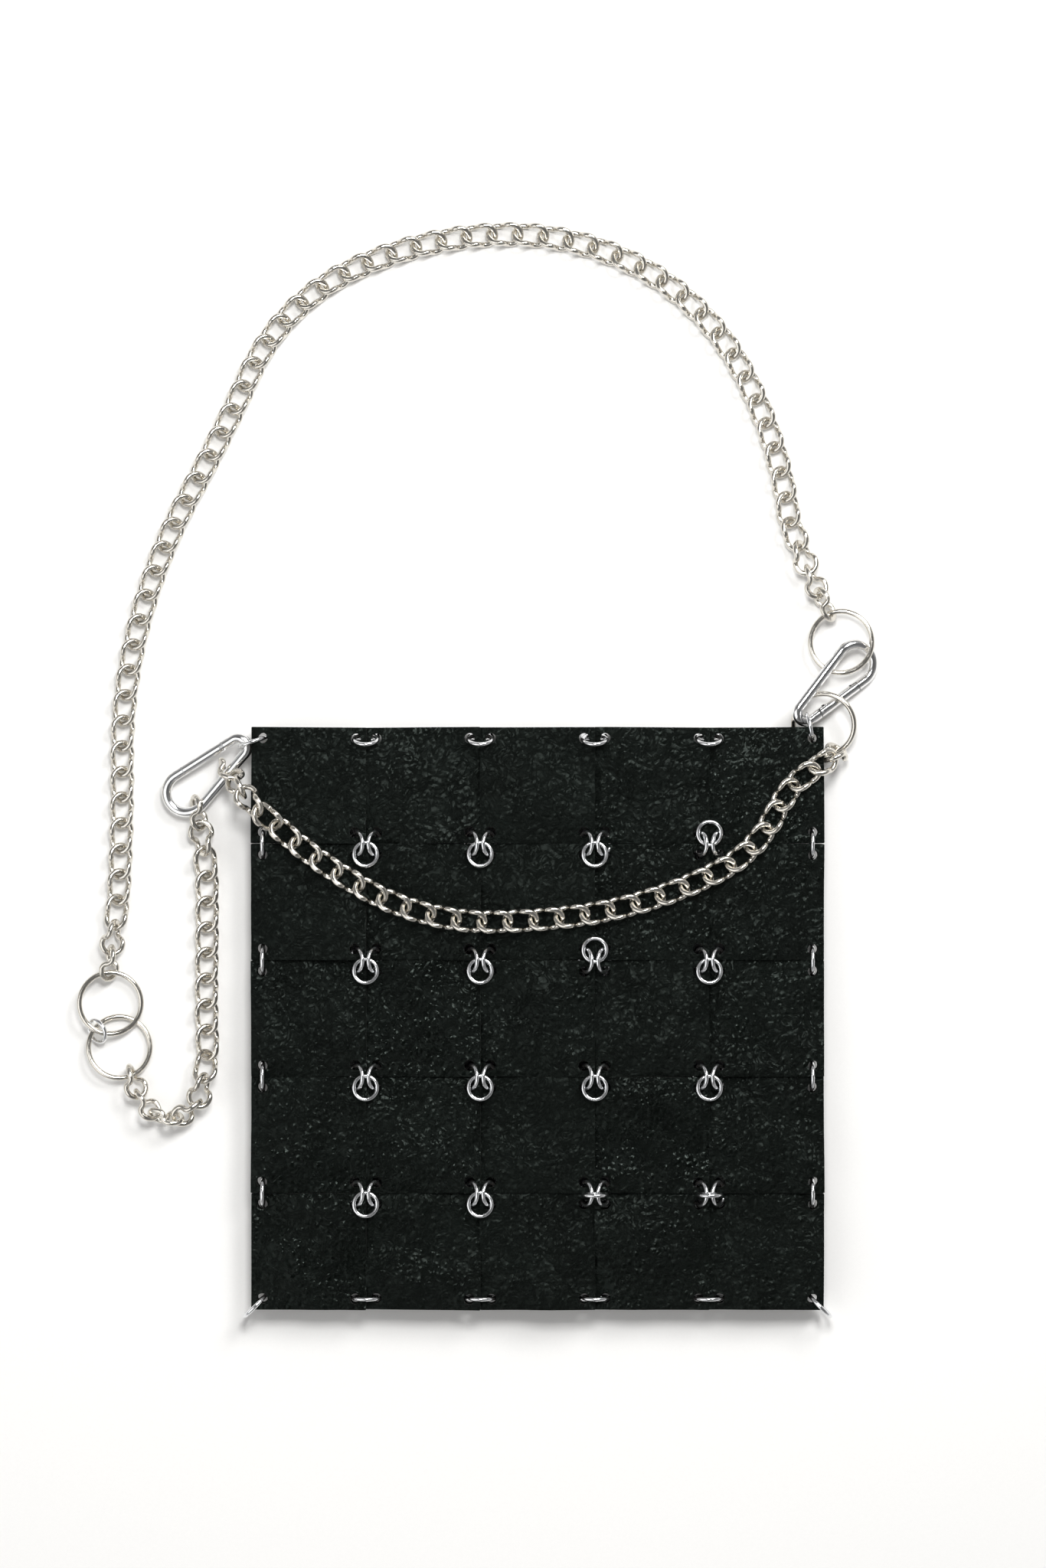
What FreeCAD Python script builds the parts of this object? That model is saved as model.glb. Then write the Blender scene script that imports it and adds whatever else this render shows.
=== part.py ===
import FreeCAD, Part
import math
import os
import Sketcher

# Chain pouch: two panels of leather squares linked by jump rings, two spring
# clips at the top corners, a long curb-chain strap and a second chain swagged
# across the front.  The pouch lies on its back: +Y towards its mouth, +Z up.
# All sizes are millimetres and degrees.

os.makedirs("parts", exist_ok=True)
doc = FreeCAD.newDocument("ChainPouch")
sheet = doc.addObject("Spreadsheet::Sheet", "Sizes")

SIZES = (
    ("square_wide", 41.6),       # one leather square, across the pouch
    ("square_tall", 42.4),       # one leather square, along the pouch
    ("square_gap", 1.0),         # gap between neighbouring squares
    ("leather_thick", 1.4),
    ("hole_share", 0.8276),      # hole setback from each edge, as a share of ring_radius
    ("hole_radius", 2.2),
    ("pocket_depth", 5.4),       # free depth between the two panels
    ("ring_radius", 4.35),       # jump ring, middle of the wire
    ("ring_wire", 0.75),         # jump ring wire radius
    ("ring_lean", 31.0),         # lean of a linking ring towards its seam
    ("mouth_lean", 24.0),        # lean of the rings along the mouth
    ("tie_drop", 3.9),           # tie ring: centre below or above the crossing
    ("tie_height", 2.95),        # tie ring: height over the leather's middle
    ("tie_tilt", 2.0),
    ("tie_stand", 5.75),         # height of a tie ring that stands on edge
    ("edge_radius", 5.4),        # ring round both panels, middle of the wire
    ("link_length", 6.1),        # chain link, half length at the wire middle
    ("link_width", 3.9),         # chain link, half width at the wire middle
    ("link_wire", 1.03),         # chain link wire radius
    ("link_twist", 29.0),        # twist of each end out of the flat
    ("link_pitch", 9.6),
    ("hoop_radius", 11.5),       # big round ring, middle of the wire
    ("hoop_wire", 1.0),
    ("clip_wire", 1.9),          # spring clip wire radius
    ("clip_small", 3.5),         # bend radius at the narrow end
    ("clip_large", 7.5),         # bend radius at the wide end
    ("clip_spread", 26.2),       # distance between the two bend centres
    ("clip_stub", 4.2),          # straight wire before the gate's hinge
    ("clip_nose", 3.4),          # straight wire after the wide bend
    ("clip_dip", 9.0),           # slope of the clip down to the table
    ("clip_roll", 20.0),         # roll of the right clip about its length
    ("gate_gap", 0.35),          # clearance at each end of the gate
    ("gate_swing", 25.0),        # how far a gate opens inward
    ("tongue_long", 2.2),
    ("tongue_thick", 1.2),
    ("tongue_play", 0.3),        # clearance each side of a tongue in its slot
    ("pin_radius", 0.6),
    ("pin_clearance", 0.06),
)
for line, (alias, value) in enumerate(SIZES, 1):
    sheet.set(f"A{line}", alias)
    sheet.set(f"B{line}", f"{value}")
    sheet.setAlias(f"B{line}", alias)
doc.recompute()


def size(alias):
    return float(sheet.get(alias))


COLUMNS = 5
ROWS = 5
SIDES = {"front": 1, "back": -1}
ACROSS = "(Sizes.square_wide + Sizes.square_gap)"
ALONG = "(Sizes.square_tall + Sizes.square_gap)"
HOLE = "(Sizes.hole_share * Sizes.ring_radius + Sizes.square_gap / 2)"
LAYER = "((Sizes.pocket_depth + Sizes.leather_thick) / 2)"
RISE = "sqrt(Sizes.ring_radius ^ 2 - " + HOLE + " ^ 2)"
PROUD = "((" + RISE + " + Sizes.ring_radius) * cos(Sizes.ring_lean * 1 deg) + Sizes.ring_wire)"
MIDDLE = "(" + LAYER + " + " + PROUD + ")"

across = size("square_wide") + size("square_gap")
along = size("square_tall") + size("square_gap")
setback = size("hole_share") * size("ring_radius")
hole = setback + size("square_gap") / 2
layer = (size("pocket_depth") + size("leather_thick")) / 2
rise = math.sqrt(size("ring_radius") ** 2 - hole ** 2)
lean = math.radians(size("ring_lean"))
middle = layer + (rise + size("ring_radius")) * math.cos(lean) + size("ring_wire")
corner_x = 2.5 * across - hole
corner_y = 2.5 * along - hole

nodes = {}
X_AXIS = FreeCAD.Vector(1, 0, 0)
Y_AXIS = FreeCAD.Vector(0, 1, 0)
Z_AXIS = FreeCAD.Vector(0, 0, 1)


def place(item, at, axis=None, angle=0.0, angle_size=None):
    """Put an object at three expressions, turned about an axis."""
    if axis is not None:
        item.Placement = FreeCAD.Placement(
            FreeCAD.Vector(0, 0, 0), FreeCAD.Rotation(axis, angle if angle else 1.0))
        if angle_size:
            item.setExpression(".Placement.Rotation.Angle", angle_size)
    for name, text in zip("xyz", at):
        item.setExpression(f".Placement.Base.{name}", text)
    return item


def torus(name, at, axis, angle, kind="ring", angle_size=None):
    """A round ring of one of the three wire sizes."""
    item = doc.addObject("Part::Torus", name)
    major = {"ring": "ring_radius", "edge": "edge_radius", "hoop": "hoop_radius"}[kind]
    minor = {"ring": "ring_wire", "edge": "ring_wire", "hoop": "hoop_wire"}[kind]
    item.setExpression("Radius1", f"Sizes.{major}")
    item.setExpression("Radius2", f"Sizes.{minor}")
    return place(item, at, axis, angle, angle_size)


def group(name, members):
    """One node made of separate like pieces."""
    item = doc.addObject("Part::Compound", name)
    item.Links = members
    nodes[name] = item
    return item


# ---------------------------------------------------------------- leather
outline = doc.addObject("Sketcher::SketchObject", "square_outline")
wide = size("square_wide") / 2
tall = size("square_tall") / 2
ends = [(-wide, -tall), (wide, -tall), (wide, tall), (-wide, tall)]
for spot in range(4):
    first = FreeCAD.Vector(*ends[spot], 0)
    last = FreeCAD.Vector(*ends[(spot + 1) % 4], 0)
    outline.addGeometry(Part.LineSegment(first, last), False)
for spot in range(4):
    outline.addConstraint(Sketcher.Constraint("Coincident", spot, 2, (spot + 1) % 4, 1))
for spot in (0, 2):
    outline.addConstraint(Sketcher.Constraint("Horizontal", spot))
    outline.addConstraint(Sketcher.Constraint("Vertical", spot + 1))
outline.addConstraint(Sketcher.Constraint("Symmetric", 0, 1, 2, 1, -1, 1))
for name, edge, kind, span in (("wide", 0, "DistanceX", wide), ("tall", 1, "DistanceY", tall)):
    spot = outline.addConstraint(Sketcher.Constraint(kind, edge, 1, edge, 2, 2 * span))
    outline.renameConstraint(spot, name)
    outline.setExpression(f"Constraints.{name}", f"Sizes.square_{name}")
for number, (sx, sy) in enumerate(((-1, -1), (1, -1), (1, 1), (-1, 1))):
    centre = FreeCAD.Vector(sx * (wide - setback), sy * (tall - setback), 0)
    circle = outline.addGeometry(
        Part.Circle(centre, Z_AXIS, size("hole_radius")), False)
    spot = outline.addConstraint(
        Sketcher.Constraint("Radius", circle, size("hole_radius")))
    outline.renameConstraint(spot, f"bore{number}")
    outline.setExpression(f"Constraints.bore{number}", "Sizes.hole_radius")
    for kind, sign, span in (("DistanceX", sx, "wide"), ("DistanceY", sy, "tall")):
        value = sign * (size(f"square_{span}") / 2 - setback)
        spot = outline.addConstraint(
            Sketcher.Constraint(kind, -1, 1, circle, 3, value))
        label = f"{span}{number}"
        outline.renameConstraint(spot, label)
        outline.setExpression(
            f"Constraints.{label}",
            f"({sign}) * (Sizes.square_{span} / 2 - Sizes.hole_share * Sizes.ring_radius)")


def square(name, side, row, column):
    """One punched leather square of a panel; row 1 is at the mouth."""
    item = doc.addObject("Part::Extrusion", name)
    item.Base = outline
    item.DirMode = "Custom"
    item.Dir = Z_AXIS
    item.Solid = True
    item.FaceMakerClass = "Part::FaceMakerBullseye"
    item.setExpression("LengthFwd", "Sizes.leather_thick")
    height = f"{MIDDLE} + ({SIDES[side]}) * {LAYER} - Sizes.leather_thick / 2"
    return place(item, (f"({column - 3}) * {ACROSS}", f"({3 - row}) * {ALONG}", height))


for row in range(1, ROWS + 1):
    for column in range(1, COLUMNS + 1):
        name = f"square_front_{row}{column}"
        nodes[name] = square(name, "front", row, column)
    group(f"squares_back_{row}", [
        square(f"back_square_{row}{column}", "back", row, column)
        for column in range(1, COLUMNS + 1)])


# ------------------------------------------------------------- jump rings
def cluster(side, seam, column, tie="down"):
    """Two leaning rings and the tie ring where four squares meet."""
    sign = SIDES[side]
    base = f"{side}_{seam}{column}"
    mid = f"({column - 2.5}) * {ACROSS}"
    level = f"({2.5 - seam}) * {ALONG}"
    leaf = f"{MIDDLE} + ({sign}) * {LAYER}"
    rings = []
    for name, way in (("left", -1), ("right", 1)):
        centre = (
            f"{mid} + ({way}) * ({HOLE} - {RISE} * sin(Sizes.ring_lean * 1 deg))",
            level,
            f"{leaf} + ({sign}) * {RISE} * cos(Sizes.ring_lean * 1 deg)")
        turn = f"90 - ({way * sign}) * Sizes.ring_lean"
        rings.append(torus(f"ring_{name}_{base}", centre, Y_AXIS, 90, angle_size=turn))
    if tie == "stand":
        centre = (mid, level, f"{leaf} + ({sign}) * Sizes.tie_stand")
        rings.append(torus(f"ring_tie_{base}", centre, X_AXIS, 90))
    else:
        way = 1 if tie == "up" else -1
        centre = (mid, f"{level} + ({way}) * Sizes.tie_drop",
                  f"{leaf} + ({sign}) * Sizes.tie_height")
        turn = f"({way * sign}) * Sizes.tie_tilt"
        rings.append(torus(f"ring_tie_{base}", centre, X_AXIS, 5, angle_size=turn))
    return rings


TIES = {(1, 4): "up", (2, 3): "up", (4, 3): "stand", (4, 4): "stand"}
for seam in range(1, ROWS):
    rings = []
    for column in range(1, COLUMNS):
        rings += cluster("front", seam, column, TIES.get((seam, column), "down"))
        rings += cluster("back", seam, column)
    for name, way in (("left", -1), ("right", 1)):
        centre = (f"({way}) * (2.5 * {ACROSS} - {HOLE})", f"({2.5 - seam}) * {ALONG}", MIDDLE)
        rings.append(torus(f"ring_side_{name}_{seam}", centre, Y_AXIS, 90, "edge"))
    group(f"rings_seam_{seam}", rings)

rings = []
for side, sign in SIDES.items():
    for column in range(1, COLUMNS):
        shift = f"({sign}) * {RISE}"
        centre = (
            f"({column - 2.5}) * {ACROSS}",
            f"2.5 * {ALONG} - {HOLE} - {RISE} * sin(Sizes.mouth_lean * 1 deg) * ({sign})",
            f"{MIDDLE} + ({sign}) * ({LAYER} + {RISE} * cos(Sizes.mouth_lean * 1 deg))")
        turn = "90 + Sizes.mouth_lean"
        rings.append(torus(f"ring_mouth_{side}_{column}", centre, X_AXIS, 90, angle_size=turn))
group("rings_mouth", rings)

rings = []
for column in range(1, COLUMNS):
    centre = (f"({column - 2.5}) * {ACROSS}", f"{HOLE} - 2.5 * {ALONG}", MIDDLE)
    rings.append(torus(f"ring_base_{column}", centre, X_AXIS, 90, "edge"))
OUTSET = "sqrt(Sizes.edge_radius ^ 2 - " + LAYER + " ^ 2)"


def corner_ring(name, side_x, side_y, heading):
    """A ring through the front and back hole of one corner square."""
    ux = math.cos(math.radians(heading))
    uy = math.sin(math.radians(heading))
    centre = (
        f"({side_x}) * (2.5 * {ACROSS} - {HOLE}) + ({ux:.5f}) * {OUTSET}",
        f"({side_y}) * (2.5 * {ALONG} - {HOLE}) + ({uy:.5f}) * {OUTSET}",
        MIDDLE)
    return torus(name, centre, FreeCAD.Vector(ux, uy, 0), 90, "edge")


rings.append(corner_ring("ring_base_left", -1, -1, 225))
rings.append(corner_ring("ring_base_right", 1, -1, 315))
group("rings_base", rings)
LEFT_HEADING = 200.0
RIGHT_HEADING = 103.0
nodes["ring_clip_left"] = corner_ring("ring_clip_left", -1, 1, LEFT_HEADING)
nodes["ring_clip_right"] = corner_ring("ring_clip_right", 1, 1, RIGHT_HEADING)


# ------------------------------------------------------------ spring clips
def clip(side, heading, corner_heading, side_x, roll):
    """A pear-shaped spring clip: bent body, hinge pin and gate.

    The clip's own X runs from the narrow bend to the wide bend and its
    gate closes the -Y side.  The narrow bend holds the corner ring.
    """
    wire = size("clip_wire")
    small = size("clip_small")
    large = size("clip_large")
    spread = size("clip_spread")
    flare = math.asin((large - small) / spread)
    run = spread * math.cos(flare)
    stub = size("clip_stub")
    nose = size("clip_nose")
    gap = size("gate_gap")
    tongue = size("tongue_long")
    thick = size("tongue_thick")
    play = size("tongue_play")
    pin = size("pin_radius")
    way_on = FreeCAD.Vector(math.cos(flare), -math.sin(flare), 0)
    outward = FreeCAD.Vector(-math.sin(flare), -math.cos(flare), 0)
    near = outward * small
    far = FreeCAD.Vector(spread, 0, 0) + outward * large
    hinge_end = near + way_on * stub
    nose_end = far - way_on * nose

    def rod(start, way, length, radius):
        return Part.makeCylinder(radius, length, start, way)

    def bend(centre, start, angle, radius):
        face = Part.Face(Part.Wire(Part.Circle(
            centre + start * radius, start.cross(Z_AXIS), wire).toShape()))
        return face.revolve(centre, Z_AXIS, angle)

    upper = FreeCAD.Vector(-math.sin(flare), math.cos(flare), 0)
    slope = FreeCAD.Vector(math.cos(flare), math.sin(flare), 0)
    narrow = bend(FreeCAD.Vector(0, 0, 0), upper, 180 - 2 * math.degrees(flare), small)
    wide = bend(FreeCAD.Vector(spread, 0, 0), outward, 180 + 2 * math.degrees(flare), large)
    spine = rod(upper * small, slope, run, wire)
    pieces = [wide, spine, rod(near, way_on, stub, wire), rod(nose_end, way_on, nose, wire)]

    def plate(end, way, length, height):
        """A flat tongue or slot lying in the clip's own plane."""
        box = Part.makeBox(length, 2 * wire + 2, height,
                           FreeCAD.Vector(0, -wire - 1, -height / 2))
        angle = math.degrees(math.atan2(way.y, way.x))
        box.Placement = FreeCAD.Placement(end, FreeCAD.Rotation(Z_AXIS, angle))
        return box

    full = rod(near, way_on, run, wire)
    hinge_tongue = plate(hinge_end - way_on * 0.5, way_on, tongue + 0.5, thick).common(full)
    nose_tongue = plate(nose_end + way_on * 0.5, way_on * -1, tongue + 0.5, thick).common(full)
    body = narrow.multiFuse(pieces + [hinge_tongue, nose_tongue]).removeSplitter()
    pivot = hinge_end + way_on * (tongue / 2)
    shaft = Part.makeCylinder(pin, 2 * wire + 2, pivot - Z_AXIS * (wire + 1), Z_AXIS)
    limit = rod(near, way_on, run, wire - 0.1)
    shaft = shaft.common(limit)
    body = body.cut(Part.makeCylinder(pin, 4 * wire, pivot - Z_AXIS * 2 * wire, Z_AXIS))

    gate_length = run - stub - nose - 2 * gap
    gate = rod(hinge_end + way_on * gap, way_on, gate_length, wire)
    gate = gate.cut(plate(hinge_end + way_on * 0.01, way_on, tongue + gap * 3, thick + 2 * play))
    gate = gate.cut(plate(nose_end - way_on * 0.01, way_on * -1, tongue + gap * 2, thick + 2 * play))
    eye = Part.makeCylinder(pin + size("pin_clearance"), 4 * wire, pivot - Z_AXIS * 2 * wire, Z_AXIS)
    gate = gate.cut(eye)
    # The hinge end is sloped off so that it clears the stub when it swings in.
    relief = Part.makeBox(8, 8, 8, FreeCAD.Vector(-8 - tongue / 2 + gap / 2, -4, -4))
    tilt = -math.degrees(flare) - size("gate_swing") - 2
    relief.Placement = FreeCAD.Placement(pivot, FreeCAD.Rotation(Z_AXIS, tilt))
    gate = gate.cut(relief)

    turn = math.radians(corner_heading)
    hold = math.sqrt(size("edge_radius") ** 2 - layer ** 2) + size("edge_radius")
    hold -= size("ring_wire") + wire + 0.55
    reach_out = hold + small
    start = FreeCAD.Vector(
        side_x * corner_x + math.cos(turn) * reach_out,
        corner_y + math.sin(turn) * reach_out,
        middle)
    spin = FreeCAD.Rotation(Z_AXIS, heading).multiply(
        FreeCAD.Rotation(Y_AXIS, size("clip_dip"))).multiply(
        FreeCAD.Rotation(X_AXIS, roll))
    where = FreeCAD.Placement(start, spin)
    for name, shape in ((f"clip_{side}", body), (f"clip_pin_{side}", shaft),
                        (f"clip_gate_{side}", gate)):
        item = doc.addObject("Part::Feature", name)
        item.Shape = shape
        item.Placement = where
        nodes[name] = item
    return where


LEFT_CLIP_HEADING = 220.7
RIGHT_CLIP_HEADING = 44.4
left_clip = clip("left", LEFT_CLIP_HEADING, LEFT_HEADING, -1, 0.0)
right_clip = clip("right", RIGHT_CLIP_HEADING, RIGHT_HEADING, 1, size("clip_roll"))


# ----------------------------------------------------------- curb chains
def make_link():
    """One curb link: two twisted end bends and two S-shaped sides."""
    width = size("link_width")
    wire = size("link_wire")
    twist = math.radians(size("link_twist"))
    reach = size("link_length") - width
    lift = width * math.sin(twist)
    edge = width * math.cos(twist)
    bend = (reach ** 2 + lift ** 2) / (2 * lift)
    sweep = math.degrees(math.atan2(reach, bend - lift))
    solids = []

    def turn(point, way, centre, axis, angle):
        face = Part.Face(Part.Wire(Part.Circle(point, way, wire).toShape()))
        solids.append(face.revolve(centre, axis, angle))

    for end in (1, -1):
        up = FreeCAD.Vector(0, math.cos(twist), end * math.sin(twist))
        centre = FreeCAD.Vector(end * reach, 0, 0)
        turn(centre + up * width, X_AXIS, centre, X_AXIS.cross(up) * -end, 180)
        for side in (1, -1):
            level = end * side
            point = FreeCAD.Vector(end * reach, side * edge, level * lift)
            middle_of = point - Z_AXIS * (level * bend)
            turn(point, X_AXIS, middle_of, Y_AXIS * -side, sweep)
    link = solids[0].multiFuse(solids[1:]).removeSplitter()
    return link.Solids[0]


LINK = make_link()


def lay_flat(start, heading, turns):
    """Flat links from a start; turns holds the turn to each next link."""
    links = [(start, heading, 0.0, 0.0)]
    for turn in turns:
        links.append(next_link(links[-1], (turn, 0.0, 0.0), 1))
    return links


def lay_links(start, heading, bends, goal, middle_link):
    """Flat links from start to goal; bends lists (number of links, turn at each).

    Whole links are put in or taken out at the middle link to suit the span,
    and what is still missing is shared between all the links.
    """
    turns = [turn for count, turn in bends for step in range(count)]
    links = lay_flat(start, heading, turns)
    onward = along_link(links[middle_link][1], 0.0)
    spare = round((goal - links[-1][0]).dot(onward) / size("link_pitch"))
    if spare > 0:
        turns[middle_link:middle_link] = [0.0] * spare
    elif spare < 0:
        removed = sum(turns[middle_link:middle_link - spare])
        del turns[middle_link:middle_link - spare]
        turns[middle_link] += removed
    links = lay_flat(start, heading, turns)
    share = (goal - links[-1][0]) * (1 / len(turns))
    return [(link[0] + share * number, *link[1:]) for number, link in enumerate(links)]


def along_link(heading, climb):
    """The direction of a link's length."""
    spin = FreeCAD.Rotation(Z_AXIS, heading).multiply(FreeCAD.Rotation(Y_AXIS, -climb))
    return spin.multVec(X_AXIS)


def next_link(link, step, way):
    """The link after (way 1) or before (way -1) another.

    step gives the turn to it, its climb and its roll about its length.
    """
    place_now, heading, climb, roll = link
    turn, new_climb, new_roll = step
    new_heading = heading + way * turn
    reach = along_link(heading, climb) + along_link(new_heading, new_climb)
    centre = place_now + reach * (way * size("link_pitch") / 2)
    return (centre, new_heading, new_climb, new_roll)


def add_links(links, steps, way):
    """Add hand-laid links at the end (way 1) or the start (way -1)."""
    for step in steps:
        if way > 0:
            links.append(next_link(links[-1], step, way))
        else:
            links.insert(0, next_link(links[0], step, way))


def frames_of(links):
    """Placements of the links."""
    frames = []
    for centre, heading, climb, roll in links:
        spin = FreeCAD.Rotation(Z_AXIS, heading)
        spin = spin.multiply(FreeCAD.Rotation(Y_AXIS, -climb))
        spin = spin.multiply(FreeCAD.Rotation(X_AXIS, roll))
        frames.append(FreeCAD.Placement(centre, spin))
    return frames


def chain_piece(name, frames):
    """A run of links as one node, placed by its first link."""
    home = frames[0]
    links = [LINK.transformed((home.inverse().multiply(frame)).toMatrix()) for frame in frames]
    item = doc.addObject("Part::Feature", name)
    item.Shape = Part.makeCompound(links)
    item.Placement = home
    nodes[name] = item


leather_top = middle + layer + size("leather_thick") / 2
link_rest = size("link_width") * math.sin(math.radians(size("link_twist"))) + size("link_wire")

# The chains hang from the clips, so they are laid out from the wide ends.
eye = FreeCAD.Vector(size("clip_spread"), 0, 0)
left_eye = left_clip.multVec(eye)
right_eye = right_clip.multVec(eye)


def spot(home, out_x, out_y, height):
    """A place beside the wide end of a clip, at a height over the table."""
    return FreeCAD.Vector(home.x + out_x, home.y + out_y, height)


# The strap leaves the upper hoop, arches over and comes down the left side.
STRAP_BENDS = (
    (6, 3.5), (6, 5.9), (5, 5.3), (6, 3.9), (6, 6.9), (5, -0.9),
    (6, 2.5), (5, 2.8), (5, -0.7))
STRAP_HEAD = ((-14.0, -6.1, 3.9), (2.4, -5.8, 26.3), (-5.5, -0.1, 48.9), (-1.3, -0.5, 87.5))
STRAP_TAIL = ((-3.4, 12.6, -3.5), (-1.4, 1.0, -44.6), (0.8, -4.5, -79.2))
table_lie = link_rest + 0.1
strap = lay_links(
    spot(right_eye, -24.87, 57.89, table_lie), 98.1, STRAP_BENDS,
    spot(left_eye, -25.35, -35.44, table_lie), 17)
add_links(strap, STRAP_HEAD, -1)
add_links(strap, STRAP_TAIL, 1)

# The short lower strap leaves the lower hoop, doubles back on edge and
# climbs to the left clip.
LOWER_BENDS = ((3, -1.0), (3, 0.5))
LOWER_HEAD = (
    (9.8, -29.2, 8.0), (5.8, -3.0, 37.7), (37.7, 3.3, 58.6),
    (48.9, 11.6, 87.7), (42.9, 1.3, 112.8), (18.6, 2.6, 122.9))
LOWER_TAIL = ((5.0, 10.4, 1.7), (3.7, 0.2, -27.5), (1.7, 1.7, -95.8))
LOWER_TURNS = [turn for count, turn in LOWER_BENDS for step in range(count)]
lower = lay_flat(spot(left_eye, 7.72, -93.64, link_rest + 0.02), 92.0, LOWER_TURNS)
add_links(lower, LOWER_HEAD, -1)
add_links(lower, LOWER_TAIL, 1)

# The swag hangs from the left clip across the front to the front hoop.
SWAG_BENDS = ((4, 3.2), (5, 5.8), (3, 2.0), (6, 3.4), (3, 11.7), (1, -5.9))
SWAG_HEAD = (
    (-0.4, -29.3, 0.1), (9.2, 15.0, 18.5), (5.0, 45.9, 48.8), (-10.4, 54.2, 96.7))
SWAG_TAIL = ((-19.8, 10.3, -0.9), (-7.5, -30.2, -5.8), (18.4, -65.2, -34.4))
swag_lie = leather_top + link_rest + 0.12
swag = lay_links(
    spot(left_eye, 37.70, -15.26, swag_lie), -40.8, SWAG_BENDS,
    spot(right_eye, -26.25, -48.82, swag_lie), 10)
add_links(swag, SWAG_HEAD, -1)
add_links(swag, SWAG_TAIL, 1)

STRAP_SPLITS = (0, 12, 24, 36, 48, len(strap))
SWAG_SPLITS = (0, 7, 14, 21, len(swag))
LOWER_SPLITS = (0, 5, len(lower))
for label, frames, splits in (("strap", strap, STRAP_SPLITS), ("swag", swag, SWAG_SPLITS),
                              ("strap_end", lower, LOWER_SPLITS)):
    for number in range(len(splits) - 1):
        chain_piece(f"chain_{label}_{number + 1}",
                    frames_of(frames[splits[number]:splits[number + 1]]))


# ------------------------------------------------------------ round hoops
def hoop(name, centre, rise_x, rise_y, kind="hoop"):
    """A round hoop; rise_x and rise_y are its plane's slopes across and along."""
    spin = FreeCAD.Rotation(Z_AXIS, FreeCAD.Vector(-rise_x, -rise_y, 1))
    at = [f"{value:.3f}" for value in centre]
    nodes[name] = torus(name, at, spin.Axis, math.degrees(spin.Angle), kind)


hoop("hoop_strap_right", spot(right_eye, -5.11, 8.25, 5.81), 0.133, 0.002)
hoop("hoop_front_right", spot(right_eye, -11.60, -22.47, 5.73), 0.244, 0.178)
hoop("hoop_strap_left", spot(left_eye, -28.48, -78.84, 4.28), -0.103, 0.002)
hoop("hoop_strap_end", spot(left_eye, -25.28, -95.44, 2.69), -0.085, -0.115)
hoop("ring_hoops", spot(left_eye, -33.47, -89.27, 4.17), 0.934, 0.459, "ring")

doc.recompute()
for item in doc.Objects:
    if "Invalid" in item.State or "Error" in item.State:
        raise RuntimeError(f"{item.Name} did not recompute: {item.State}")
for name, item in nodes.items():
    item.Label = name
    shape = item.Shape
    if shape.isNull() or not shape.isValid():
        raise RuntimeError(f"{name} has no valid shape")
    shape.exportStep(f"parts/{name}.step")
print(f"{len(nodes)} nodes written")
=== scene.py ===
import math

import bpy
from mathutils import Matrix, Vector


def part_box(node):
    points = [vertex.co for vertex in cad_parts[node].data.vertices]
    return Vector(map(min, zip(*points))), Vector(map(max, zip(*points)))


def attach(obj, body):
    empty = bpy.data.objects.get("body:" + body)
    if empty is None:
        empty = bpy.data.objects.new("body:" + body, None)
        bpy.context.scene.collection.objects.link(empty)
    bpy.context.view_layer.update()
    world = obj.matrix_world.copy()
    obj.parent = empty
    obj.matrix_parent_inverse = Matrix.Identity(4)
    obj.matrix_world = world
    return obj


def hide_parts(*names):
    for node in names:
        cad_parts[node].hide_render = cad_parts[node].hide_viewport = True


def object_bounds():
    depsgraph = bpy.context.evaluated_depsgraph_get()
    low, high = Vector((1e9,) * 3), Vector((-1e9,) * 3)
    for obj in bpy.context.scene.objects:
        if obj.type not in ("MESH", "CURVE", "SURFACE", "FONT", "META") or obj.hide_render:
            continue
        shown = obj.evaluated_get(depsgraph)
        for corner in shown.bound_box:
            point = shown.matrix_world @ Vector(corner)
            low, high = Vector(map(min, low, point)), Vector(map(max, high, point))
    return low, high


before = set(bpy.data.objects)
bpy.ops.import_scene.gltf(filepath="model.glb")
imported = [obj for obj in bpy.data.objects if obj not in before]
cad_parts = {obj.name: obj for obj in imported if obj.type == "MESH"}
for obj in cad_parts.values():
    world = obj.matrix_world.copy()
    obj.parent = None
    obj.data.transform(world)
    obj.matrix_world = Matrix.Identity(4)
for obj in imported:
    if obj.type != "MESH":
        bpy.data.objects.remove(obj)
CAD_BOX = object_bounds()

bl_info = {
    "name": "Chain pouch looks",
    "version": (1, 0, 0),
    "blender": (4, 5, 0),
    "location": "3D View > Sidebar > Chain pouch",
    "description": "Leather squares, metal finishes and a plain stage for the chain pouch",
    "category": "Object",
}

MM = 0.001
ROWS = range(1, 6)
COLUMNS = range(1, 6)
# Distance between the middles of neighbouring squares.
PITCH_X = 42.6 * MM
PITCH_Y = 43.4 * MM
# How much wider and taller a square is cut than its place, so that it laps.
LAP_X = 1.3 * MM
LAP_Y = 0.9 * MM
# Hole centre to the edge of a square that fills its place, and the lap's share.
HOLE_SETBACK = 3.6 * MM
HOLE_EXTRA = 0.5 * MM
GRID_CUTS = 20
# Each square's grain is moved by up to this far, in metres, across the hide.
HIDE_SPREAD = 0.3
GROUND_SIZE = 6
GROUND_DROP = 0.2 * MM
# The camera looks straight down at this point and takes in this much lengthways.
AIM = Vector((-5.4 * MM, 87.3 * MM, 9 * MM))
VIEW_TALL = 585.1 * MM
SENSOR_MM = 36


# ------------------------------------------------------------------ helpers
def linear(hex_colour):
    """A linear RGBA colour from an sRGB hex string."""
    out = []
    for spot in (1, 3, 5):
        value = int(hex_colour[spot:spot + 2], 16) / 255
        out.append(value / 12.92 if value <= 0.04045 else ((value + 0.055) / 1.055) ** 2.4)
    return (*out, 1.0)


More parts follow.
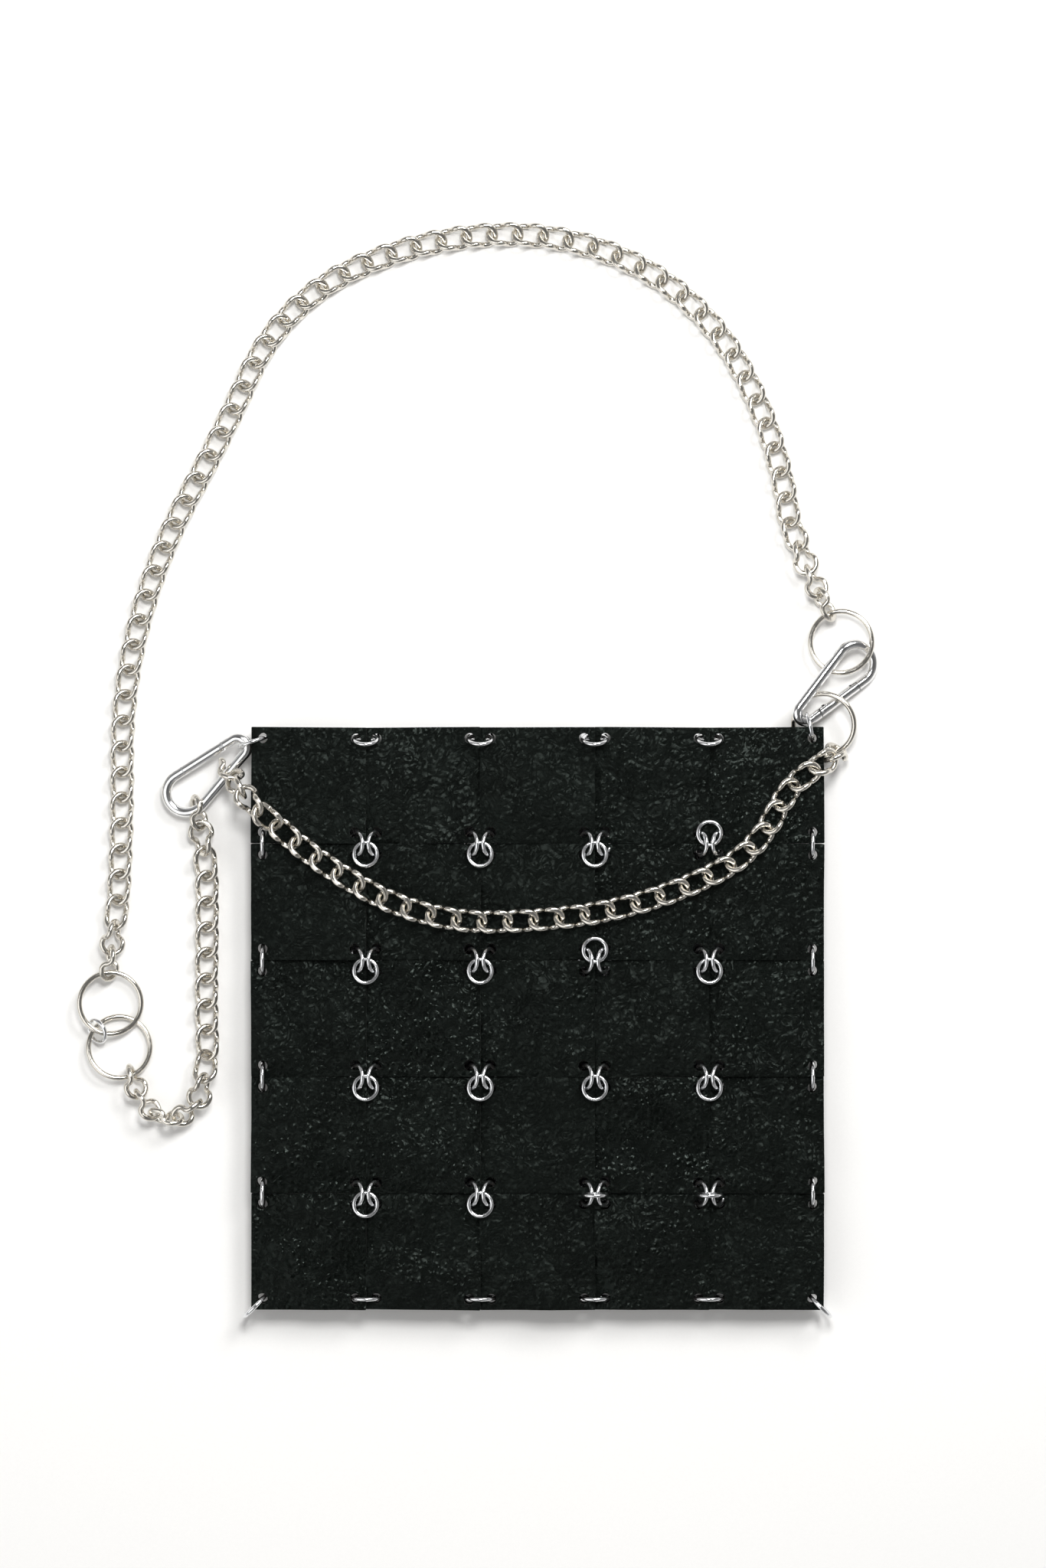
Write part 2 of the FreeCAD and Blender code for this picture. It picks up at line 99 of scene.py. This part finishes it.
def add_node(tree, kind, values=None, **settings):
    """One node with its settings, socket values and incoming links."""
    node = tree.nodes.new(kind)
    for name, value in settings.items():
        setattr(node, name, value)
    for name, value in (values or {}).items():
        if isinstance(value, bpy.types.NodeSocket):
            tree.links.new(value, node.inputs[name])
        else:
            node.inputs[name].default_value = value
    return node


def new_material(name):
    """An empty material with its shader, and the object's own coordinates."""
    material = bpy.data.materials.new(name)
    material.use_nodes = True
    tree = material.node_tree
    tree.nodes.clear()
    shader = add_node(tree, "ShaderNodeBsdfPrincipled")
    add_node(tree, "ShaderNodeOutputMaterial", {"Surface": shader.outputs["BSDF"]})
    place = add_node(tree, "ShaderNodeTexCoord").outputs["Object"]
    return material, tree, shader, place


def noise(tree, place, size_mm, detail=3.0, rough=0.5, distortion=0.0):
    """Cloudy noise whose blotches are about size_mm across."""
    return add_node(tree, "ShaderNodeTexNoise", {
        "Vector": place, "Scale": 1 / (size_mm * MM), "Detail": detail,
        "Roughness": rough, "Distortion": distortion}).outputs["Fac"]


def remap(tree, value, low, high, to_low, to_high):
    """A value moved from one range to another."""
    return add_node(tree, "ShaderNodeMapRange", {
        "Value": value, "From Min": low, "From Max": high,
        "To Min": to_low, "To Max": to_high}).outputs["Result"]


def blend_colours(tree, factor, first, second):
    """A colour between two hex colours."""
    mix = add_node(tree, "ShaderNodeMix", data_type="RGBA")
    tree.links.new(factor, mix.inputs["Factor"])
    mix.inputs[6].default_value = linear(first)
    mix.inputs[7].default_value = linear(second)
    return mix.outputs[2]


def bump(tree, height, deep_mm, strength=1.0, under=None):
    """A bump of a real depth, laid over another one."""
    values = {"Height": height, "Distance": deep_mm * MM, "Strength": strength}
    if under is not None:
        values["Normal"] = under
    return add_node(tree, "ShaderNodeBump", values).outputs["Normal"]


# ---------------------------------------------------------------- materials
def black_leather():
    """Pebbled black leather, dressed to a low sheen, with fine draw creases."""
    material, tree, shader, place = new_material("black_pebbled_leather")
    settings = bpy.context.scene.pouch_leather
    # Each square was cut from its own part of the hide: a random value for each
    # square shifts its grain and sets how smooth the dressing left it.
    shifted_place = add_node(tree, "ShaderNodeVectorMath", {
        0: place, 1: (PITCH_X * 5.5, PITCH_Y * 5.5, 0)}, operation="ADD").outputs["Vector"]
    cell = add_node(tree, "ShaderNodeVectorMath", {
        0: shifted_place, 1: (PITCH_X, PITCH_Y, 1)}, operation="SNAP").outputs["Vector"]
    chance = add_node(tree, "ShaderNodeTexWhiteNoise", {"Vector": cell})
    cut_from = add_node(tree, "ShaderNodeVectorMath", {
        0: chance.outputs["Color"], 1: (HIDE_SPREAD, HIDE_SPREAD, HIDE_SPREAD)},
        operation="MULTIPLY").outputs["Vector"]
    place = add_node(tree, "ShaderNodeVectorMath", {
        0: place, 1: cut_from}, operation="ADD").outputs["Vector"]
    dressing = add_node(tree, "ShaderNodeMath", {
        0: remap(tree, chance.outputs["Value"], 0, 1, -0.06, 0.18),
        1: remap(tree, noise(tree, place, 16, detail=3), 0.35, 0.65, -0.05, 0.08)},
        operation="ADD").outputs["Value"]
    drift = noise(tree, place, 22, detail=4)
    tone = blend_colours(tree, remap(tree, drift, 0.35, 0.68, 0, 1), "#020302", "#070a08")
    # Creases run in loose folds across a square where the hide was drawn.
    folds = noise(tree, place, 6, detail=6, rough=0.65, distortion=1.8)
    ridge = remap(tree, folds, 0.44, 0.56, 0, 1)
    # Rounded pebbles, uneven in size, about as wide as grain_size.
    wobble = add_node(tree, "ShaderNodeTexNoise", {
        "Vector": place, "Scale": 1 / (2.2 * MM), "Detail": 2.0})
    shifted = add_node(tree, "ShaderNodeVectorMath", {
        0: wobble.outputs["Color"], 1: (0.7 * MM, 0.7 * MM, 0.7 * MM)}, operation="MULTIPLY")
    grain_place = add_node(tree, "ShaderNodeVectorMath", {
        0: place, 1: shifted.outputs["Vector"]}, operation="ADD").outputs["Vector"]
    pebble = add_node(tree, "ShaderNodeTexVoronoi", {
        "Vector": grain_place, "Scale": 1 / (settings.grain_size),
        "Smoothness": 0.45}, feature="SMOOTH_F1").outputs["Distance"]
    crown = remap(tree, pebble, 0.05, 0.75, 1, 0)
    pores = noise(tree, place, 0.35, detail=2)
    shape = bump(tree, ridge, 0.48, 0.8)
    shape = bump(tree, crown, 0.46, 0.9, shape)
    shape = bump(tree, pores, 0.03, 0.5, shape)
    gloss = add_node(tree, "ShaderNodeMath", {
        0: remap(tree, crown, 0, 1, 0.38, 0.24), 1: dressing},
        operation="ADD").outputs["Value"]
    shader.inputs["Specular IOR Level"].default_value = 0.16
    shader.inputs["Specular Tint"].default_value = linear("#e2f4ea")
    tree.links.new(tone, shader.inputs["Base Color"])
    tree.links.new(gloss, shader.inputs["Roughness"])
    tree.links.new(shape, shader.inputs["Normal"])
    return material


def cut_leather_edge():
    """The raw cut edge and the punched holes: matt, fibrous, dyed dark."""
    material, tree, shader, place = new_material("dyed_cut_leather_edge")
    fibre = noise(tree, place, 0.5, detail=6, rough=0.7)
    tone = blend_colours(tree, fibre, "#0f0e0c", "#2b2723")
    tree.links.new(tone, shader.inputs["Base Color"])
    tree.links.new(bump(tree, fibre, 0.12), shader.inputs["Normal"])
    shader.inputs["Roughness"].default_value = 0.85
    return material


def plated_metal(name, pale, dull, smooth, rough, streak_mm):
    """Bright plating with handling haze, small dings and hairline wear."""
    material, tree, shader, place = new_material(name)
    haze = noise(tree, place, 3.5, detail=4)
    tone = blend_colours(tree, haze, pale, dull)
    wear = noise(tree, place, streak_mm, detail=5, rough=0.65, distortion=0.6)
    tree.links.new(tone, shader.inputs["Base Color"])
    tree.links.new(remap(tree, wear, 0.3, 0.75, smooth, rough), shader.inputs["Roughness"])
    dings = bump(tree, noise(tree, place, 1.8, detail=2), 0.05, 0.35)
    tree.links.new(bump(tree, wear, 0.012, 0.5, dings), shader.inputs["Normal"])
    shader.inputs["Metallic"].default_value = 1.0
    return material


def stage_paper():
    """Plain pale card with a very fine tooth."""
    material, tree, shader, place = new_material("pale_studio_card")
    tooth = noise(tree, place, 0.8, detail=4)
    tree.links.new(blend_colours(tree, tooth, "#f4f3f1", "#efeeec"), shader.inputs["Base Color"])
    tree.links.new(bump(tree, tooth, 0.02, 0.2), shader.inputs["Normal"])
    shader.inputs["Roughness"].default_value = 0.9
    return material


# ------------------------------------------------------------ sizes and tones
class PouchLeather(bpy.types.PropertyGroup):
    """Sizes of the leather squares."""
    corner_round: bpy.props.FloatProperty(
        name="Corner radius", description="Rounding of each square's corners",
        default=0.4 * MM, unit="LENGTH")
    edge_round: bpy.props.FloatProperty(
        name="Edge rounding", description="Softening of the cut edges",
        default=0.32 * MM, unit="LENGTH")
    punch_radius: bpy.props.FloatProperty(
        name="Hole radius", description="Radius of the punched corner holes",
        default=1.95 * MM, unit="LENGTH")
    warp: bpy.props.FloatProperty(
        name="Warp", description="How far a square strays from flat",
        default=4.5 * MM, unit="LENGTH")
    crown: bpy.props.FloatProperty(
        name="Crown", description="How far the middle stands over the edges",
        default=0.8 * MM, unit="LENGTH")
    grain_size: bpy.props.FloatProperty(
        name="Grain size", description="Width of one pebble of the grain",
        default=2.0 * MM, unit="LENGTH")


class PouchStage(bpy.types.PropertyGroup):
    """Light and camera."""
    key_power: bpy.props.FloatProperty(
        name="Key light", description="Power of the large soft light", default=16.0, unit="POWER")
    fill_power: bpy.props.FloatProperty(
        name="Fill light", description="Power of the light opposite", default=8.0, unit="POWER")
    sheen_power: bpy.props.FloatProperty(
        name="Sheen light", description="Power of the small light beyond the mouth",
        default=8.0, unit="POWER")
    wall_level: bpy.props.FloatProperty(
        name="Wall light", description="Strength of the light from the pale walls", default=0.52)
    ceiling_level: bpy.props.FloatProperty(
        name="Ceiling light", description="Strength of the light from the dark ceiling",
        default=0.13)
    lens: bpy.props.FloatProperty(
        name="Lens", description="Focal length of the camera", default=100.0)


# ------------------------------------------------------------------- squares
def only(obj):
    """Select and activate a single object."""
    bpy.ops.object.select_all(action="DESELECT")
    obj.select_set(True)
    bpy.context.view_layer.objects.active = obj


def apply_modifier(obj, kind, **settings):
    """Add a modifier, set it up and apply it."""
    only(obj)
    modifier = obj.modifiers.new(kind.lower(), kind)
    for name, value in settings.items():
        setattr(modifier, name, value)
    bpy.ops.object.modifier_apply(modifier=modifier.name)


def pick_edges(obj, wanted):
    """In edit mode, select the edges whose middle and direction pass a test."""
    bpy.ops.object.mode_set(mode="OBJECT")
    mesh = obj.data
    for edge in mesh.edges:
        first, last = (mesh.vertices[index].co for index in edge.vertices)
        edge.select = wanted(first, last)
    bpy.ops.object.mode_set(mode="EDIT")


def model_square(wide, tall, thick, setback):
    """One punched square lying flat, centred on the origin."""
    settings = bpy.context.scene.pouch_leather
    bpy.ops.object.select_all(action="DESELECT")
    bpy.ops.mesh.primitive_cube_add(size=1, location=(0, 0, 0))
    square = bpy.context.active_object
    square.scale = (wide, tall, thick)
    bpy.ops.object.transform_apply(location=True, rotation=True, scale=True)
    bpy.ops.object.mode_set(mode="EDIT")
    bpy.ops.mesh.select_mode(type="EDGE")
    bpy.ops.mesh.select_all(action="DESELECT")
    pick_edges(square, lambda a, b: abs(a.z - b.z) > thick / 2)
    bpy.ops.mesh.bevel(offset=settings.corner_round, segments=4, affect="EDGES")
    # A grid of cuts lets the sheet bend.
    for axis, span in ((0, wide), (1, tall)):
        for cut in range(1, GRID_CUTS):
            at = [0.0, 0.0, 0.0]
            at[axis] = span * (cut / GRID_CUTS - 0.5)
            normal = [0.0, 0.0, 0.0]
            normal[axis] = 1.0
            bpy.ops.mesh.select_all(action="SELECT")
            bpy.ops.mesh.bisect(plane_co=at, plane_no=normal)
    bpy.ops.object.mode_set(mode="OBJECT")
    for side_x in (-1, 1):
        for side_y in (-1, 1):
            bpy.ops.object.select_all(action="DESELECT")
            bpy.ops.mesh.primitive_cylinder_add(
                vertices=20, radius=settings.punch_radius, depth=thick * 4,
                location=(side_x * (wide / 2 - setback), side_y * (tall / 2 - setback), 0))
            punch = bpy.context.active_object
            apply_modifier(square, "BOOLEAN", object=punch, operation="DIFFERENCE", solver="EXACT")
            bpy.data.objects.remove(punch)
    apply_modifier(square, "BEVEL", width=settings.edge_round, segments=2,
                   limit_method="ANGLE", angle_limit=math.radians(50))
    # The middle stands a little higher than the edges, as drawn hide does.
    for vertex in square.data.vertices:
        across = 1 - (2 * vertex.co.x / wide) ** 2
        along = 1 - (2 * vertex.co.y / tall) ** 2
        vertex.co.z += settings.crown * (max(across, 0) * max(along, 0) - 0.5)
    return square


def finish_square(obj, hide_place, surface, edge):
    """Warp a flat square, shade it and give its cut edges their own slot.

    hide_place is where in the hide it was cut, so every square warps its own way.
    """
    settings = bpy.context.scene.pouch_leather
    clouds = bpy.data.textures.get("hide_warp")
    if clouds is None:
        clouds = bpy.data.textures.new("hide_warp", "CLOUDS")
        clouds.noise_scale = 26 * MM
        clouds.noise_depth = 1
    mesh = obj.data
    mesh.materials.clear()
    mesh.materials.append(surface)
    mesh.materials.append(edge)
    for face in mesh.polygons:
        face.material_index = 1 if abs(face.normal.z) < 0.35 else 0
    mesh.transform(Matrix.Translation(hide_place))
    apply_modifier(obj, "DISPLACE", texture=clouds, texture_coords="GLOBAL",
                   direction="Z", mid_level=0.5, strength=settings.warp)
    obj.data.transform(Matrix.Translation(-hide_place))
    only(obj)
    bpy.ops.object.shade_smooth_by_angle(angle=math.radians(40))


def node_middle(node):
    """Centre and size of a CAD node."""
    low, high = (Vector(corner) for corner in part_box(node))
    return (low + high) / 2, high - low


class POUCH_OT_leather_squares(bpy.types.Operator):
    """Model one punched leather square and lay a warped copy on every place"""
    bl_idname = "pouch.leather_squares"
    bl_label = "Leather squares"

    def execute(self, context):
        surface = black_leather()
        edge = cut_leather_edge()
        _, span = node_middle("square_front_33")
        master = model_square(span.x + LAP_X, span.y + LAP_Y, span.z,
                              HOLE_SETBACK + HOLE_EXTRA)
        for row in ROWS:
            body = "mouth_row" if row == 1 else f"row_{row}"
            back_middle, _ = node_middle(f"squares_back_{row}")
            backs = []
            for column in COLUMNS:
                node = f"square_front_{row}{column}"
                centre, _ = node_middle(node)
                spots = (
                    (f"leather_front_{row}{column}", centre),
                    (f"leather_back_{row}{column}", Vector((centre.x, centre.y, back_middle.z))))
                for name, spot in spots:
                    piece = master.copy()
                    piece.data = master.data.copy()
                    piece.name = name
                    context.collection.objects.link(piece)
                    # Squares lap over their neighbours: the lower and the right
                    # edge of each stands a little proud, and none is quite square on.
                    flip = math.pi if (row * 3 + column) % 2 else 0.0
                    lap = math.radians(-0.8 - 0.3 * ((row + 2 * column) % 3))
                    roll = math.radians(-0.9 - 0.4 * ((column + row * 2) % 3))
                    yaw = math.radians(0.35 * ((column * 2 + row) % 3 - 1))
                    cut_from = Vector((0.31 * column, 0.47 * row, 0.9 if "back" in name else 0.2))
                    finish_square(piece, cut_from, surface, edge)
                    piece.data.transform(
                        Matrix.Translation(spot) @ Matrix.Rotation(lap, 4, "X")
                        @ Matrix.Rotation(roll, 4, "Y") @ Matrix.Rotation(flip + yaw, 4, "Z"))
                    if name.startswith("leather_back"):
                        backs.append(piece)
                    else:
                        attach(piece, body)
                        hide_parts(node)
            bpy.ops.object.select_all(action="DESELECT")
            for piece in backs:
                piece.select_set(True)
            context.view_layer.objects.active = backs[0]
            bpy.ops.object.join()
            backs[0].name = f"leather_back_row_{row}"
            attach(backs[0], body)
            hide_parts(f"squares_back_{row}")
        bpy.data.objects.remove(master)
        return {"FINISHED"}


class POUCH_OT_metal(bpy.types.Operator):
    """Give the rings, hoops, chains and clips their plated finishes"""
    bl_idname = "pouch.metal"
    bl_label = "Metal finishes"

    def execute(self, context):
        ring = plated_metal("bright_zinc_ring_wire", "#f2f3f4", "#dcdddf", 0.10, 0.26, 0.9)
        clip = plated_metal("bright_zinc_clip_plating", "#f4f4f4", "#e4e4e4", 0.08, 0.22, 1.4)
        chain = plated_metal("polished_nickel_chain", "#e6e2da", "#c9c4ba", 0.12, 0.30, 1.1)
        hoop = plated_metal("polished_nickel_hoop", "#e9e5dd", "#cfcac0", 0.09, 0.24, 1.6)
        pin = plated_metal("satin_steel_pin", "#d6d6d7", "#bcbcbe", 0.28, 0.42, 0.6)
        finishes = (
            ("ring_hoops", ring), ("ring", ring), ("clip_pin", pin), ("clip", clip),
            ("chain", chain), ("hoop", hoop))
        for name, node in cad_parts.items():
            if name.startswith("square"):
                continue
            finish = next(item for start, item in finishes if name.startswith(start))
            node.data.materials.clear()
            node.data.materials.append(finish)
        return {"FINISHED"}


class POUCH_OT_stage(bpy.types.Operator):
    """Lay the pale ground and set up the light and the camera"""
    bl_idname = "pouch.stage"
    bl_label = "Stage"

    def execute(self, context):
        settings = context.scene.pouch_stage
        bpy.ops.object.select_all(action="DESELECT")
        bpy.ops.mesh.primitive_plane_add(size=GROUND_SIZE, location=(0, 0, 0))
        floor = context.active_object
        floor.name = "ground"
        floor.data.transform(Matrix.Translation((0, 0, CAD_BOX[0][2] - GROUND_DROP)))
        floor.data.materials.append(stage_paper())
        lights = (
            ("key_light", (0.75, 0.95, 1.25), 0.6, settings.key_power),
            ("fill_light", (-0.9, -0.5, 1.1), 1.4, settings.fill_power),
            ("sheen_light", (0.06, 0.36, 1.05), 0.28, settings.sheen_power))
        for name, spot, width, power in lights:
            data = bpy.data.lights.new(name, "AREA")
            data.shape = "SQUARE"
            data.size = width
            data.energy = power
            lamp = bpy.data.objects.new(name, data)
            context.collection.objects.link(lamp)
            lamp.location = AIM + Vector(spot)
            lamp.rotation_euler = (-Vector(spot)).to_track_quat("-Z", "Y").to_euler()
        world = bpy.data.worlds.new("room_light")
        world.use_nodes = True
        world.node_tree.nodes["Background"].inputs["Color"].default_value = linear("#f6f6f6")
        # The walls are pale and the ceiling dark, so black leather stays black from
        # above while round wire picks up the walls.
        sky = add_node(world.node_tree, "ShaderNodeTexCoord").outputs["Generated"]
        height = add_node(world.node_tree, "ShaderNodeSeparateXYZ", {"Vector": sky})
        strength = remap(world.node_tree, height.outputs["Z"], 0, 0.75,
                         settings.wall_level, settings.ceiling_level)
        world.node_tree.links.new(
            strength, world.node_tree.nodes["Background"].inputs["Strength"])
        context.scene.world = world
        camera_data = bpy.data.cameras.new("camera")
        camera_data.lens = settings.lens
        camera_data.sensor_width = SENSOR_MM
        camera_data.clip_end = 20
        camera = bpy.data.objects.new("camera", camera_data)
        context.collection.objects.link(camera)
        camera.location = AIM + Vector((0, 0, VIEW_TALL * settings.lens / SENSOR_MM))
        context.scene.camera = camera
        context.scene.view_settings.view_transform = "Standard"
        return {"FINISHED"}


class POUCH_PT_panel(bpy.types.Panel):
    """Lists the pouch's pieces and their settings"""
    bl_label = "Chain pouch"
    bl_idname = "POUCH_PT_panel"
    bl_space_type = "VIEW_3D"
    bl_region_type = "UI"
    bl_category = "Chain pouch"

    def draw(self, context):
        for group in (context.scene.pouch_leather, context.scene.pouch_stage):
            for name in group.__annotations__:
                self.layout.prop(group, name)
        for operator in OPERATORS:
            self.layout.operator(operator.bl_idname)


OPERATORS = (POUCH_OT_leather_squares, POUCH_OT_metal, POUCH_OT_stage)
CLASSES = (PouchLeather, PouchStage, *OPERATORS, POUCH_PT_panel)


def register():
    for item in CLASSES:
        bpy.utils.register_class(item)
    bpy.types.Scene.pouch_leather = bpy.props.PointerProperty(type=PouchLeather)
    bpy.types.Scene.pouch_stage = bpy.props.PointerProperty(type=PouchStage)


def unregister():
    del bpy.types.Scene.pouch_leather
    del bpy.types.Scene.pouch_stage
    for item in reversed(CLASSES):
        bpy.utils.unregister_class(item)


def main():
    register()
    bpy.ops.pouch.leather_squares()
    bpy.ops.pouch.metal()
    bpy.ops.pouch.stage()


if __name__ == "__main__":
    main()
